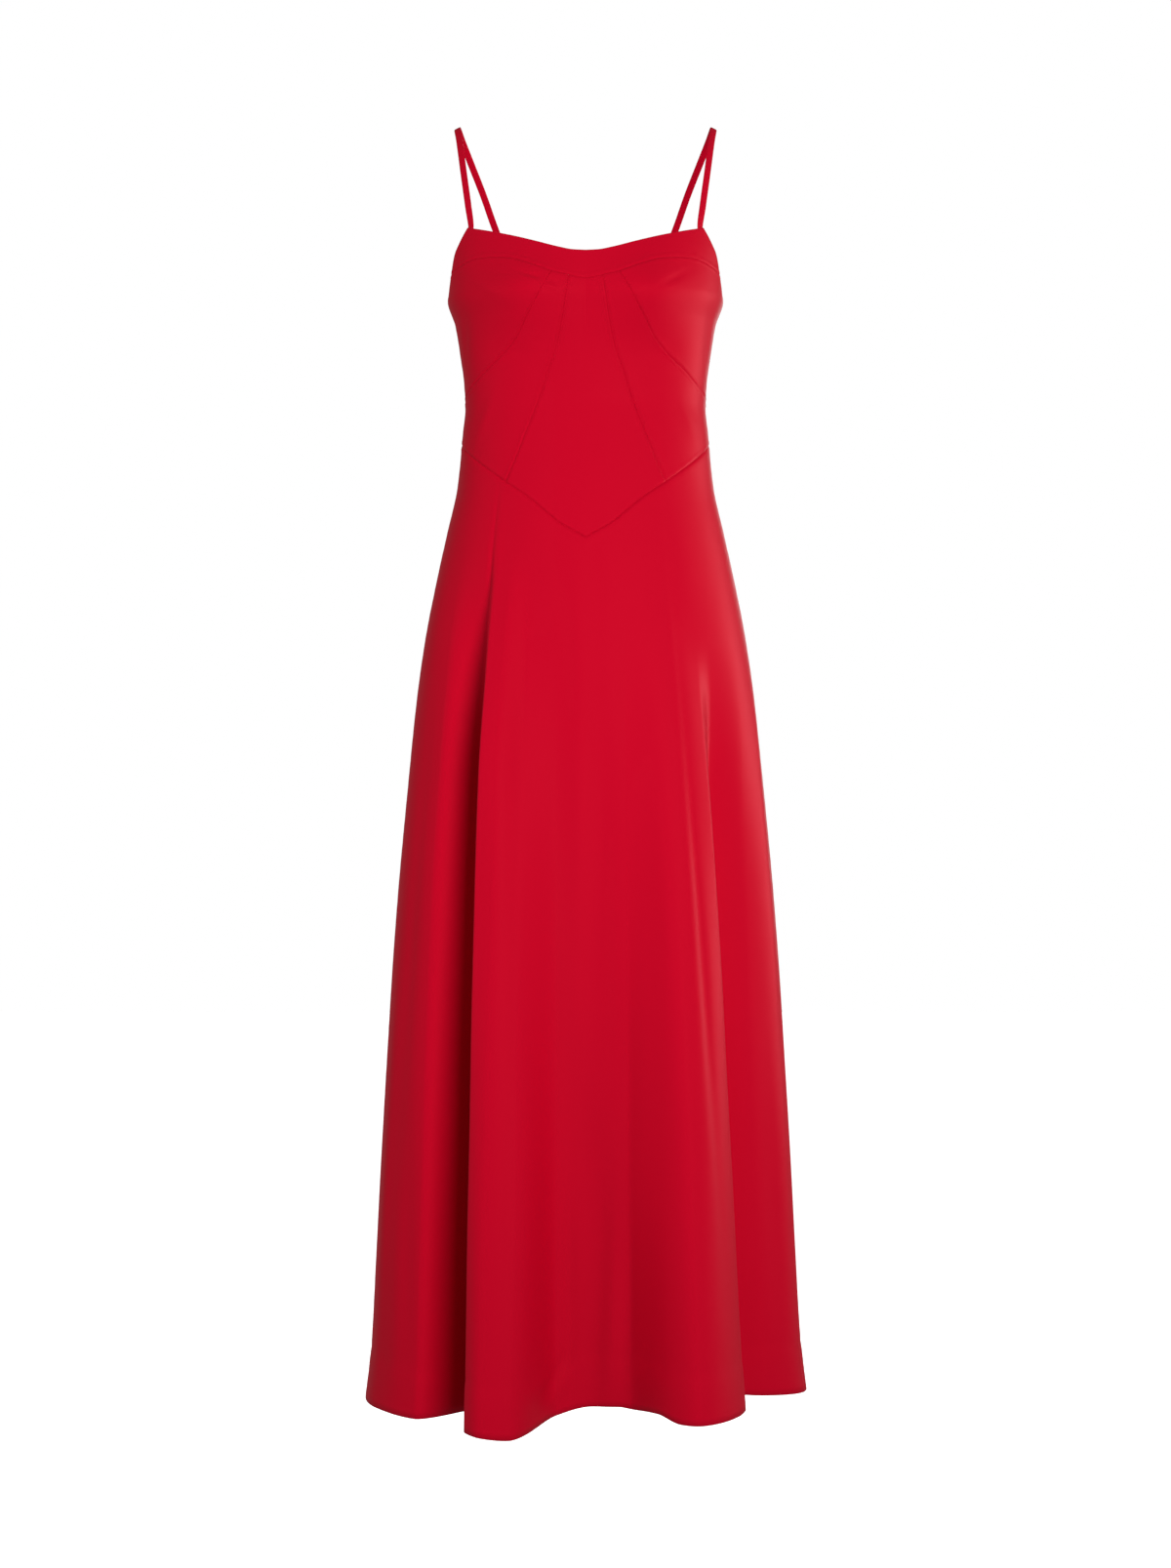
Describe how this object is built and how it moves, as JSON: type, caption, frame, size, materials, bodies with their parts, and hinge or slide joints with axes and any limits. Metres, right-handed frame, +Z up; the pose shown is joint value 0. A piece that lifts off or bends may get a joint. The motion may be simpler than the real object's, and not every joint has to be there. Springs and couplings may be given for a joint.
{
  "type": "corset maxi dress",
  "caption": "Red satin maxi dress filled out as worn: fitted bodice with curved cup seams and a pointed waist seam, fluted floor-length skirt, thin straps, closed back zip.",
  "frame": {"origin": "on the shoulder line, midway between the two straps, level with the underside of the strap tops", "axes": "+Z up along the body, -Y to the dress front, +X to the wearer's left"},
  "size_m": [0.4853, 0.3711, 1.3987],
  "materials": {
    "satin": "satin",
    "zip_tape": "matte",
    "zip_metal": "gloss"
  },
  "bodies": {
    "dress": {"neck_band": "satin", "centre_front": "satin", "cup_left": "satin", "cup_right": "satin", "side_front_left": "satin", "side_front_right": "satin", "back_left": "satin", "back_right": "satin", "skirt_front": "satin", "skirt_back_left": "satin", "skirt_back_right": "satin", "strap_left": "satin", "strap_right": "satin", "zip_tape": "zip_tape", "zip_slider": "zip_metal"},
    "zip_pull": {"zip_pull": "zip_metal"}
  },
  "joints": [
    {"name": "zip_pull_hinge", "type": "hinge", "parent": "dress", "child": "zip_pull", "pos_m": [0, 0.10488, -0.208], "axis": [1, 0, 0], "range_deg": [0, 150]}
  ]
}
